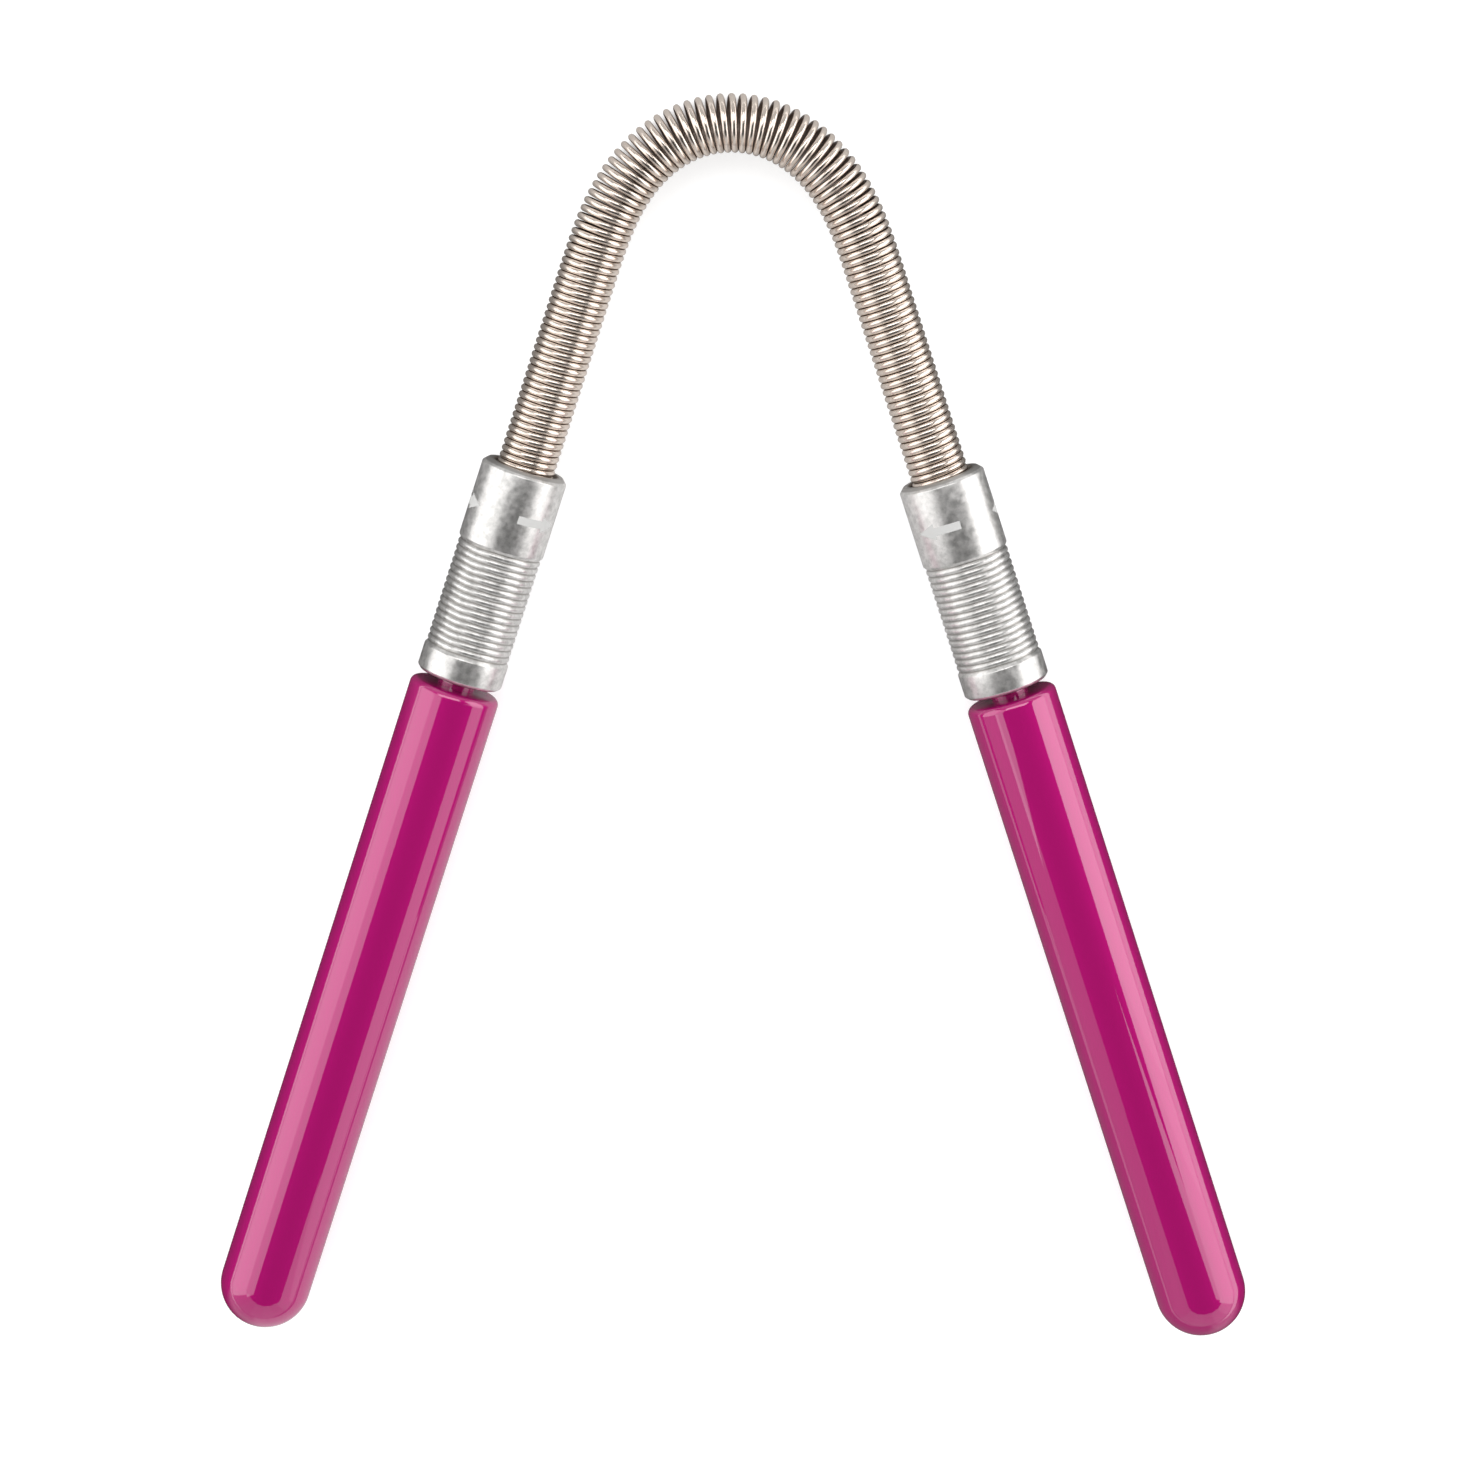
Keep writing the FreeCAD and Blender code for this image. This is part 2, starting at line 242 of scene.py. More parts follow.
def geometry_group(name, **inputs):
    """A Geometry Nodes tree. Underscores in an input's keyword stand for spaces."""
    listed = [(label.replace("_", " "), f"NodeSocket{kind}") for label, kind in inputs.items()]
    return new_group(name, "GeometryNodeTree", GEOMETRY + listed, GEOMETRY)


def coil_tree():
    """One round wire wound along a centre line that bends over the arch into both legs."""
    nodes, given, result = geometry_group(
        "Arched Coil", Top_Of_Arch="Vector", Wire_Diameter="Float", Coil_Diameter="Float",
        Turn_Gap="Float", Bend_Half_Length="Float", Leg_Splay="Float", Left_Free_Length="Float",
        Right_Free_Length="Float", Insertion="Float", End_Flare="Float", Flare_Lead="Float",
        Flare_Depth="Float", Steps_Per_Turn="Int", Wire_Sides="Int", Material="Material",
    )
    pitch = nodes.math("ADD", given["Wire Diameter"], given["Turn Gap"])
    step = nodes.math("DIVIDE", pitch, given["Steps Per Turn"])
    wire_radius = nodes.math("MULTIPLY", given["Wire Diameter"], 0.5)
    path_radius = nodes.math("SUBTRACT", nodes.math("MULTIPLY", given["Coil Diameter"], 0.5), wire_radius)

    def steps_down(free_length):
        length = nodes.math("ADD", given[free_length], given["Insertion"])
        return nodes.math("ROUND", nodes.math("DIVIDE", length, step))

    steps_left = steps_down("Left Free Length")
    point_count = nodes.math("ADD", nodes.math("ADD", steps_left, steps_down("Right Free Length")), 1.0)
    line = nodes.add("GeometryNodeMeshLine", {"Count": point_count, "Offset": (0, 0, 0)})

    # A length is negative on the left of the top of the arch.
    index = nodes.add("GeometryNodeInputIndex")
    length = nodes.math("MULTIPLY", nodes.math("SUBTRACT", index, steps_left), step)
    steepest = nodes.math("SUBTRACT", math.pi / 2, given["Leg Splay"])

    def fall_at(place):
        share = nodes.math("DIVIDE", place, given["Bend Half Length"])
        held = nodes.add("ShaderNodeClamp", {"Value": share, "Min": -1.0, "Max": 1.0})
        quarter = nodes.math("SINE", nodes.math("MULTIPLY", held, math.pi / 2))
        return nodes.math("MULTIPLY", steepest, quarter)

    middle_fall = fall_at(nodes.math("SUBTRACT", length, nodes.math("MULTIPLY", step, 0.5)))
    run = nodes.join_xyz(
        nodes.math("COSINE", middle_fall), nodes.math("MULTIPLY", nodes.math("SINE", middle_fall), -1.0)
    )
    walked = nodes.add(
        "GeometryNodeAccumulateField", {"Value": nodes.scaled(run, step)}, data_type="FLOAT_VECTOR",
    ).outputs["Leading"]
    walked_to_top = nodes.add(
        "GeometryNodeFieldAtIndex", {"Index": steps_left, "Value": walked}, data_type="FLOAT_VECTOR",
    )
    from_top = nodes.vector_math("SUBTRACT", walked, walked_to_top)
    centre = nodes.vector_math("ADD", given["Top Of Arch"], from_top)

    # The turns touch on the inside of the bend, so the winding slows where the line curves.
    fall = fall_at(length)
    wound = nodes.math("SUBTRACT", length, nodes.math("MULTIPLY", path_radius, fall))
    turn = nodes.math("MULTIPLY", nodes.math("DIVIDE", wound, pitch), 2 * math.pi)
    outward = nodes.join_xyz(nodes.math("SINE", fall), nodes.math("COSINE", fall))
    spoke = spoke_at(nodes, outward, nodes.math("COSINE", turn), nodes.math("SINE", turn))

    # The last turns open out where a leg enters its ferrule.
    on_left = nodes.math("LESS_THAN", length, 0.0)
    free_length = mix(nodes, on_left, given["Right Free Length"], given["Left Free Length"])
    flare = nodes.add("ShaderNodeMapRange", {
        "Value": nodes.math("ABSOLUTE", length),
        "From Min": nodes.math("SUBTRACT", free_length, given["Flare Lead"]),
        "From Max": nodes.math("ADD", free_length, given["Flare Depth"]),
        "To Min": 0.0,
        "To Max": given["End Flare"],
    }, interpolation_type="SMOOTHSTEP")
    reach = nodes.scaled(spoke, nodes.math("ADD", path_radius, flare))
    place = nodes.vector_math("ADD", centre, reach)

    wound_line = nodes.add("GeometryNodeSetPosition", {"Geometry": line, "Position": place})
    ahead = nodes.join_xyz(
        nodes.math("COSINE", fall), nodes.math("MULTIPLY", nodes.math("SINE", fall), -1.0)
    )
    for label, way in (("ahead", ahead), ("spoke", spoke)):
        wound_line = nodes.add("GeometryNodeStoreNamedAttribute", {
            "Geometry": wound_line, "Name": label, "Value": way,
        }, data_type="FLOAT_VECTOR", domain="POINT")
    path = nodes.add("GeometryNodeMeshToCurve", {"Mesh": wound_line})
    section = nodes.add(
        "GeometryNodeCurvePrimitiveCircle", {"Resolution": given["Wire Sides"], "Radius": wire_radius}
    )
    wire = nodes.add("GeometryNodeCurveToMesh", {
        "Curve": path, "Profile Curve": section, "Fill Caps": True,
    })

    # How far each point of the wire faces the next turn, and how far it faces out of the coil.
    for label, kept in (("ahead", TURN_SIDE), ("spoke", TURN_OUTWARD)):
        way = nodes.add("GeometryNodeInputNamedAttribute", {"Name": label}, data_type="FLOAT_VECTOR")
        facing = nodes.vector_math("DOT_PRODUCT", nodes.add("GeometryNodeInputNormal"), way)
        wire = nodes.add("GeometryNodeStoreNamedAttribute", {
            "Geometry": wire, "Name": kept, "Value": facing.outputs["Value"],
        }, data_type="FLOAT", domain="POINT")
        wire = nodes.add("GeometryNodeRemoveAttribute", {"Geometry": wire, "Name": label})
    end_tree(nodes, wire, given["Material"], result)
    return nodes.tree


def merged(nodes, mesh):
    """A mesh whose points that lie together are made one."""
    distance = MERGE_DISTANCE * MM
    return nodes.add("GeometryNodeMergeByDistance", {"Geometry": mesh, "Distance": distance})


def spoke_at(nodes, level, level_share, upright_share):
    """A direction out from an axis: so much along a level direction, and so much upwards."""
    return nodes.vector_math("ADD", nodes.scaled(level, level_share), nodes.join_xyz(z=upright_share))


def end_tree(nodes, mesh, material, result):
    """Smooth faces, sharp corners kept, real instances and a material, as the last nodes."""
    corner = math.radians(28)
    smooth = nodes.add("GeometryNodeSetShadeSmooth", {
        "Geometry": mesh, "Shade Smooth": True,
    }, domain="FACE")
    angle = nodes.add("GeometryNodeInputMeshEdgeAngle").outputs["Unsigned Angle"]
    sharp = nodes.add("GeometryNodeSetShadeSmooth", {
        "Geometry": smooth, "Selection": nodes.math("GREATER_THAN", angle, corner), "Shade Smooth": False,
    }, domain="EDGE")
    real = nodes.add("GeometryNodeRealizeInstances", {"Geometry": sharp})
    dressed = nodes.add("GeometryNodeSetMaterial", {"Geometry": real, "Material": material})
    nodes.feed(result["Geometry"], dressed)


def turning_group():
    """Turns an outline, whose points are (radius, depth), about a leg's axis."""
    nodes, given, result = geometry_group(
        "Turning", Mouth="Vector", Along="Vector", Segments="Int", Rows_Added="Int",
    )
    outline = nodes.add("GeometryNodeMeshToCurve", {"Mesh": given["Geometry"]})
    size = nodes.add("GeometryNodeAttributeDomainSize", {"Geometry": outline}, component="CURVE")
    points = size.outputs["Point Count"]
    columns = nodes.math("ADD", given["Segments"], 1.0)
    grid = nodes.add("GeometryNodeMeshGrid", {
        "Vertices X": nodes.math("ADD", points, given["Rows Added"]), "Vertices Y": columns,
    }).outputs["Mesh"]
    index = nodes.add("GeometryNodeInputIndex")
    row = nodes.math("FLOOR", nodes.math("DIVIDE", nodes.math("ADD", index, 0.5), columns))
    column = nodes.math("SUBTRACT", index, nodes.math("MULTIPLY", row, columns))
    spot = nodes.add("GeometryNodeSampleIndex", {
        "Geometry": outline, "Value": nodes.add("GeometryNodeInputPosition"),
        "Index": nodes.math("MODULO", row, points),
    }, data_type="FLOAT_VECTOR", domain="POINT")
    parts = nodes.add("ShaderNodeSeparateXYZ", {"Vector": spot}).outputs
    angle = nodes.math("MULTIPLY", nodes.math("DIVIDE", column, given["Segments"]), 2 * math.pi)
    across = nodes.vector_math("CROSS_PRODUCT", given["Along"], (0, 0, 1))
    spoke = spoke_at(nodes, across, nodes.math("COSINE", angle), nodes.math("SINE", angle))
    down_leg = nodes.vector_math("ADD", given["Mouth"], nodes.scaled(given["Along"], parts["Y"]))
    place = nodes.vector_math("ADD", down_leg, nodes.scaled(spoke, parts["X"]))
    turned = nodes.add("GeometryNodeSetPosition", {"Geometry": grid, "Position": place})
    nodes.feed(result["Geometry"], merged(nodes, turned))
    return nodes.tree


def turned_tree(turning):
    """A plain turned piece."""
    nodes, given, result = geometry_group(
        "Turned Piece", Mouth="Vector", Along="Vector", Segments="Int", Rows_Added="Int",
        Material="Material",
    )
    shared = {label: given[label] for label in ("Geometry", "Mouth", "Along", "Segments", "Rows Added")}
    turned = nodes.add("GeometryNodeGroup", shared, node_tree=turning)
    end_tree(nodes, turned, given["Material"], result)
    return nodes.tree


def ridged_tree(turning):
    """A turned sleeve whose outline is closed by a row of flat-topped grip ridges."""
    nodes, given, result = geometry_group(
        "Ridged Sleeve", Mouth="Vector", Along="Vector", Segments="Int", Rows_Added="Int",
        Ridge_Count="Int", Ridge_Pitch="Float", First_Valley="Float", Valley_Radius="Float",
        Ridge_Radius="Float", Flank_Width="Float", Ridge_Round="Float", Material="Material",
    )
    points_per_ridge = 5
    count = nodes.math("ADD", nodes.math("MULTIPLY", given["Ridge Count"], points_per_ridge), 1.0)
    line = nodes.add("GeometryNodeMeshLine", {"Count": count, "Offset": (0, 0, 0)})
    index = nodes.add("GeometryNodeInputIndex")
    ridge = nodes.math("FLOOR", nodes.math("DIVIDE", nodes.math("ADD", index, 0.5), points_per_ridge))
    corner = nodes.math("SUBTRACT", index, nodes.math("MULTIPLY", ridge, points_per_ridge))
    near = nodes.math("SUBTRACT", given["Flank Width"], given["Ridge Round"])
    near_top = nodes.math("ADD", given["Flank Width"], given["Ridge Round"])
    shoulder = nodes.math(
        "SUBTRACT", given["Ridge Radius"], nodes.math("MULTIPLY", given["Ridge Round"], SHOULDER_DROP)
    )
    depths = [
        0.0, near, near_top,
        nodes.math("SUBTRACT", given["Ridge Pitch"], near_top),
        nodes.math("SUBTRACT", given["Ridge Pitch"], near),
    ]
    radii = [given["Valley Radius"], shoulder, given["Ridge Radius"], given["Ridge Radius"], shoulder]

    def chosen(values):
        node = nodes.add("GeometryNodeIndexSwitch", data_type="FLOAT")
        while len(node.index_switch_items) < len(values):
            node.index_switch_items.new()
        nodes.feed(pick(node.inputs, "Index"), corner)
        for place, value in enumerate(values):
            nodes.feed(pick(node.inputs, str(place)), value)
        return node

    first = nodes.math("ADD", given["First Valley"], nodes.math("MULTIPLY", ridge, given["Ridge Pitch"]))
    ridges = nodes.add("GeometryNodeSetPosition", {
        "Geometry": line,
        "Position": nodes.join_xyz(chosen(radii), nodes.math("ADD", first, chosen(depths))),
    })
    joined = nodes.add("GeometryNodeJoinGeometry")
    for part in (given["Geometry"], pick(ridges.outputs, 0)):
        nodes.tree.links.new(part, joined.inputs[0])
    outline = merged(nodes, joined)
    shared = {label: given[label] for label in ("Mouth", "Along", "Segments", "Rows Added")}
    turned = nodes.add("GeometryNodeGroup", {"Geometry": outline, **shared}, node_tree=turning)
    end_tree(nodes, turned, given["Material"], result)
    return nodes.tree


def marks_tree():
    """Plain arrows laid round a band, each a thin closed patch that stands a hair proud of it."""
    nodes, given, result = geometry_group(
        "Direction Marks", Mouth="Vector", Along="Vector", Band_Radius="Float", Depth="Float",
        Count="Int", First_Angle="Float", Heading="Float", Mark_Length="Float",
        Shaft_Height="Float", Head_Length="Float", Head_Height="Float", Shoulder="Float",
        Relief="Float", Material="Material",
    )
    # The first half of the sheet's columns makes the shaft, and the second half the head.
    columns = 24
    last = columns - 1
    head_start = columns // 2
    sheet = nodes.add("GeometryNodeMeshGrid", {
        "Size X": float(last), "Size Y": 2.0, "Vertices X": columns, "Vertices Y": 3,
    }).outputs["Mesh"]
    position = nodes.add("GeometryNodeInputPosition")
    parts = nodes.add("ShaderNodeSeparateXYZ", {"Vector": position}).outputs
    column = nodes.math("ADD", parts["X"], last / 2)
    head_back = nodes.math("MULTIPLY", given["Head Length"], -1.0)
    shaft_start = nodes.math("MULTIPLY", given["Mark Length"], -1.0)
    shaft_end = nodes.math("SUBTRACT", head_back, given["Shoulder"])
    shaft_x = ramp(nodes, column, 0, head_start - 1, shaft_start, shaft_end)
    head_x = ramp(nodes, column, head_start, last, head_back, 0.0)
    half_shaft = nodes.math("MULTIPLY", given["Shaft Height"], 0.5)
    widest = nodes.math("MULTIPLY", given["Head Height"], 0.5)
    half_head = ramp(nodes, column, head_start, last, widest, 0.0)
    in_head = nodes.math("GREATER_THAN", column, head_start - 0.5)
    half = mix(nodes, in_head, half_shaft, half_head)
    arrow = nodes.add("GeometryNodeSetPosition", {
        "Geometry": sheet,
        "Position": nodes.join_xyz(
            mix(nodes, in_head, shaft_x, head_x), nodes.math("MULTIPLY", parts["Y"], half)
        ),
    })
    one_face = merged(nodes, arrow)
    raised = nodes.add("GeometryNodeExtrudeMesh", {
        "Mesh": one_face, "Offset": (0, 0, 1), "Individual": False,
        "Offset Scale": nodes.math("MULTIPLY", given["Relief"], 2.0),
    }, mode="FACES")
    slab = nodes.add("GeometryNodeJoinGeometry")
    for part in (raised, nodes.add("GeometryNodeFlipFaces", {"Mesh": one_face})):
        nodes.tree.links.new(pick(part.outputs, 0), slab.inputs[0])
    closed = merged(nodes, slab)

    # One arrow for each place round the band, bent to the band when all are real.
    spots = nodes.add("GeometryNodeMeshLine", {"Count": given["Count"], "Offset": (0, 0, 0)})
    number = nodes.add("GeometryNodeInputIndex")
    turn = nodes.math("DIVIDE", nodes.math("MULTIPLY", number, 2 * math.pi), given["Count"])
    start = nodes.math("MULTIPLY", nodes.math("ADD", given["First Angle"], turn), given["Band Radius"])
    spread = nodes.add("GeometryNodeSetPosition", {"Geometry": spots, "Position": nodes.join_xyz(start)})
    heading = nodes.join_xyz(given["Heading"], 1.0, 1.0)
    copies = nodes.add("GeometryNodeInstanceOnPoints", {
        "Points": spread, "Instance": closed, "Scale": heading,
    })
    flat = nodes.add("GeometryNodeRealizeInstances", {"Geometry": copies})
    angle = nodes.math("DIVIDE", parts["X"], given["Band Radius"])
    across = nodes.vector_math("CROSS_PRODUCT", (0, 0, 1), given["Along"])
    spoke = spoke_at(nodes, across, nodes.math("SINE", angle), nodes.math("COSINE", angle))
    down_leg = nodes.vector_math(
        "ADD", given["Mouth"], nodes.scaled(given["Along"], nodes.math("ADD", given["Depth"], parts["Y"]))
    )
    sunk = nodes.math("SUBTRACT", given["Band Radius"], given["Relief"])
    reach = nodes.scaled(spoke, nodes.math("ADD", sunk, parts["Z"]))
    bent = nodes.add("GeometryNodeSetPosition", {
        "Geometry": flat, "Position": nodes.vector_math("ADD", down_leg, reach),
    })
    end_tree(nodes, bent, given["Material"], result)
    return nodes.tree


def grow(name, tree, base, **values):
    """Runs a tree on a base mesh and keeps the result as a plain mesh object at the origin."""
    carrier = bpy.data.objects.new(f"{name}_carrier", base)
    bpy.context.scene.collection.objects.link(carrier)
    modifier = carrier.modifiers.new("Shape", "NODES")
    modifier.node_group = tree
    sockets = {
        item.name: item.identifier for item in tree.interface.items_tree
        if item.item_type == "SOCKET" and item.in_out == "INPUT"
    }
    for label, value in values.items():
        modifier[sockets[label.replace("_", " ")]] = value
    graph = bpy.context.evaluated_depsgraph_get()
    mesh = bpy.data.meshes.new_from_object(carrier.evaluated_get(graph), depsgraph=graph)
    mesh.name = name
    bpy.data.objects.remove(carrier)
    return plain_object(name, mesh)


def plain_object(name, mesh):
    """Turns every closed shell of a mesh outwards and puts it in the scene."""
    work = bmesh.new()
    work.from_mesh(mesh)
    doubles_apart = 0.0001 * MM
    bmesh.ops.remove_doubles(work, verts=work.verts, dist=doubles_apart)
    bmesh.ops.recalc_face_normals(work, faces=work.faces)
    work.to_mesh(mesh)
    work.free()
    piece = bpy.data.objects.new(name, mesh)
    bpy.context.scene.collection.objects.link(piece)
    return piece


def chain(name, spots):
    """A line of (radius, depth) points, in millimetres, as the outline of a turned piece."""
    mesh = bpy.data.meshes.new(name)
    places = [(radius * MM, depth * MM, 0) for radius, depth in spots]
    edges = [(index, index + 1) for index in range(len(places) - 1)]
    mesh.from_pydata(places, edges, [])
    return mesh


def quarter_round(centre_radius, centre_depth, size, start, end, steps=10):
    """Points of an arc in an outline, from one angle in degrees to another."""
    spots = []
    for index in range(steps + 1):
        angle = math.radians(start + (end - start) * index / steps)
        spots.append((centre_radius + size * math.cos(angle), centre_depth + size * math.sin(angle)))
    return spots


def softened(spots, size):
    """An outline whose inner points are each cut back to a small round of three points."""
    most_of_side = 0.4
    pull_in = 0.25
    soft = [spots[0]]
    for before, here, after in zip(spots, spots[1:], spots[2:]):
        corner = Vector(here)
        back = Vector(before) - corner
        on = Vector(after) - corner
        cut_back = min(size, back.length * most_of_side)
        cut_on = min(size, on.length * most_of_side)
        middle = (back.normalized() + on.normalized()) * cut_back * pull_in
        for offset in (back.normalized() * cut_back, middle, on.normalized() * cut_on):
            soft.append(tuple(corner + offset))
    soft.append(spots[-1])
    return soft


def new_material(name, **values):
    """A Principled material, with the node layout to add to. Underscores stand for spaces."""
    material = bpy.data.materials.new(name)
    material.use_nodes = True
    nodes = Nodes(material.node_tree)
    shader = material.node_tree.nodes["Principled BSDF"]
    for label, value in values.items():
        shader.inputs[label.replace("_", " ")].default_value = value
    return material, nodes, shader


def turned_surface_group():
    """A turned piece's fine lines, its cloudy blotches and the distance from its leg's axis."""
    nodes, given, result = new_group(
        "Turned Surface", "ShaderNodeTree",
        [(label, "NodeSocketFloat") for label in (
            "Leg Angle", "Axis Offset", "Axis Height", "Lines Per Metre", "Blotches Per Metre",
        )],
        [(label, "NodeSocketFloat") for label in ("Height", "Blotch", "From Axis")],
    )
    place = nodes.add("ShaderNodeTexCoord").outputs["Object"]
    turned = nodes.add("ShaderNodeVectorRotate", {
        "Vector": place, "Angle": given["Leg Angle"],
    }, rotation_type="Z_AXIS")
    parts = nodes.add("ShaderNodeSeparateXYZ", {"Vector": turned}).outputs
    along = nodes.math("MULTIPLY", parts["Y"], given["Lines Per Metre"])
    fine = nodes.add("ShaderNodeTexNoise", {
        "W": along, "Scale": 1.0, "Detail": 3.0,
    }, noise_dimensions="1D")
    blotch = nodes.add("ShaderNodeTexNoise", {
        "Vector": place, "Scale": given["Blotches Per Metre"], "Detail": 5.0, "Roughness": 0.65,
    })
    from_axis = nodes.vector_math("LENGTH", nodes.join_xyz(
        nodes.math("SUBTRACT", parts["X"], given["Axis Offset"]),
        nodes.math("SUBTRACT", parts["Z"], given["Axis Height"]),
    )).outputs["Value"]
    nodes.feed(result["Height"], fine.outputs[0])
    nodes.feed(result["Blotch"], blotch.outputs[0])
    nodes.feed(result["From Axis"], from_axis)
    return nodes.tree


def ramp(nodes, value, low, high, start=0.0, end=1.0):
    """A value that goes from start to end while another goes from low to high."""
    return nodes.add("ShaderNodeMapRange", {
        "Value": value, "From Min": low, "From Max": high, "To Min": start, "To Max": end,
    })


def mix(nodes, factor, first, second, data_type="FLOAT"):
    """The first value where the factor is 0, and the second where it is 1."""
    return nodes.add("ShaderNodeMix", {"Factor": factor, "A": first, "B": second}, data_type=data_type)


def blend(nodes, factor, first, second):
    return mix(nodes, factor, first, second, data_type="RGBA")


def ferrule_material(side, surface):
    """Satin aluminium with turning lines, a cloudy bloom and painted shade in the groove bottoms."""
    material, nodes, shader = new_material(f"{side}_turned_aluminium", Metallic=0.92)
    mouth = mouth_of(side)
    marks = nodes.add("ShaderNodeGroup")
    marks.node_tree = surface
    inputs = {
        "Leg Angle": -SIDES[side] * LEG_SPLAY,
        "Axis Offset": (mouth.x * math.cos(LEG_SPLAY) + SIDES[side] * mouth.y * math.sin(LEG_SPLAY)) * MM,
        "Axis Height": mouth.z * MM,
        "Lines Per Metre": 9000,
        "Blotches Per Metre": 1700,
    }
    for label, value in inputs.items():
        marks.inputs[label].default_value = value
    blotch = marks.outputs["Blotch"]
    cloudy = 0.35
    clear = 0.65
    bloom = blend(nodes, ramp(nodes, blotch, cloudy, clear), CLOUDY_ALUMINIUM, CLEAR_ALUMINIUM)
    # Painted shade: the groove bottoms turn dark grey, standing in for the shade deep in the grooves.
    shaded_height = 0.01
    lit_height = 0.09
    lit = ramp(
        nodes, marks.outputs["From Axis"],
        (VALLEY_RADIUS + shaded_height) * MM, (VALLEY_RADIUS + lit_height) * MM,
    )
    smoothest = 0.28
    roughest = 0.4
    nodes.feed(shader.inputs["Base Color"], blend(nodes, lit, GROOVE_SHADE_ALUMINIUM, bloom))
    nodes.feed(shader.inputs["Roughness"], ramp(nodes, blotch, 0.3, 0.7, smoothest, roughest))
    line_depth = 0.004
    raised = nodes.add("ShaderNodeBump", {
        "Strength": 0.5, "Distance": line_depth * MM, "Height": marks.outputs["Height"],
    })
    nodes.feed(shader.inputs["Normal"], raised)
    return material


def wire_material():
    """Bright drawn wire, with painted shade where it faces the next turn and on the inside of the coil.
    """
    material, nodes, shader = new_material("polished_spring_wire")
    facing = nodes.add("ShaderNodeAttribute", attribute_name=TURN_SIDE).outputs["Fac"]
    outward = nodes.add("ShaderNodeAttribute", attribute_name=TURN_OUTWARD).outputs["Fac"]
    # Painted shade: the wire turns dark brown where it faces the next turn, standing in for the shadow
    # between the turns.
    gap_begins = 0.78
    gap_full = 0.98
    painted_gap_shade = ramp(nodes, nodes.math("ABSOLUTE", facing), gap_begins, gap_full)
    # Painted shade: the side facing into the coil is darker and less metallic, standing in for the shade
    # inside the coil seen through its gaps.
    inner_side_begins = -0.1
    inner_side_full = -0.5
    inside = ramp(nodes, outward, inner_side_begins, inner_side_full)
    seen_side = blend(nodes, inside, BRIGHT_WIRE, INNER_SHADE_WIRE)
    inner_metallic = 0.3
    polished = 0.24
    dull = 0.45
    nodes.feed(shader.inputs["Base Color"], blend(nodes, painted_gap_shade, seen_side, SHADED_WIRE))
    nodes.feed(shader.inputs["Metallic"], ramp(nodes, inside, 0.0, 1.0, 1.0, inner_metallic))
    nodes.feed(shader.inputs["Roughness"], ramp(nodes, painted_gap_shade, 0.0, 1.0, polished, dull))
    return material


def make_materials():
    made = {"wire": wire_material()}
    surface = turned_surface_group()
    for side in SIDES:
        made[f"{side}_ferrule"] = ferrule_material(side, surface)
    made["handle"], _, _ = new_material(
        "pink_anodised_aluminium", Base_Color=PINK, Metallic=0.5, Roughness=0.48,
        Specular_IOR_Level=0.0, Coat_Weight=1.0, Coat_Roughness=0.03, Coat_IOR=2.0,
    )
    made["mark"], _, _ = new_material("frosted_mark", Base_Color=FROSTED, Metallic=0.2, Roughness=0.7)
    made["inner_steel"], _, _ = new_material(
        "plain_steel", Base_Color=PLAIN_STEEL, Metallic=1.0, Roughness=0.35,
    )
    return made


def make_coil(material):
    coil = grow(
        "wound_coil", coil_tree(), bpy.data.meshes.new("coil_base"),
        Top_Of_Arch=top_of_arch() * MM, Wire_Diameter=WIRE_DIAMETER * MM,
        Coil_Diameter=COIL_DIAMETER * MM, Turn_Gap=TURN_GAP * MM,
        Bend_Half_Length=BEND_HALF_LENGTH * MM, Leg_Splay=LEG_SPLAY,
        Left_Free_Length=FREE_LENGTH["left"] * MM, Right_Free_Length=FREE_LENGTH["right"] * MM,
        Insertion=(COIL_INSERTION - COIL_END_GAP) * MM, End_Flare=END_FLARE * MM,
        Flare_Lead=FLARE_LEAD * MM, Flare_Depth=FLARE_DEPTH * MM,
        Steps_Per_Turn=STEPS_PER_TURN, Wire_Sides=WIRE_SIDES, Material=material,
    )
    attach(coil, "coil_and_ferrules")
    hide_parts("coil_spring")


def ferrule_outline():
    """From the last grip valley round the foot, bore and mouth to the first grip valley."""
    flank = GROOVE_HALF_WIDTH * (BAND_RADIUS - VALLEY_RADIUS) / (GRIP_RADIUS - VALLEY_RADIUS)
    corners = [
        (VALLEY_RADIUS, GRIP_END),
        (BAND_RADIUS, GRIP_END + flank),
        (BAND_RADIUS, FERRULE_LENGTH - FOOT_BEVEL),
        (BAND_RADIUS - FOOT_BEVEL, FERRULE_LENGTH),
        (WEB_BORE_RADIUS, FERRULE_LENGTH),
        (WEB_BORE_RADIUS, WEB_DEPTH),
        (CHAMBER_RADIUS, WEB_DEPTH),
        (CHAMBER_RADIUS, SEAT_DEPTH),
        (BORE_RADIUS, SEAT_DEPTH),
        (BORE_RADIUS, MOUTH_LEAD),
        (BORE_RADIUS + MOUTH_LEAD, 0),
        (BAND_RADIUS - MOUTH_BEVEL, 0),
        (BAND_RADIUS, MOUTH_BEVEL),
        (BAND_RADIUS, UPPER_BAND - flank),
        (VALLEY_RADIUS, UPPER_BAND),
    ]
    return chain("ferrule_outline", softened(corners, EDGE_ROUND))


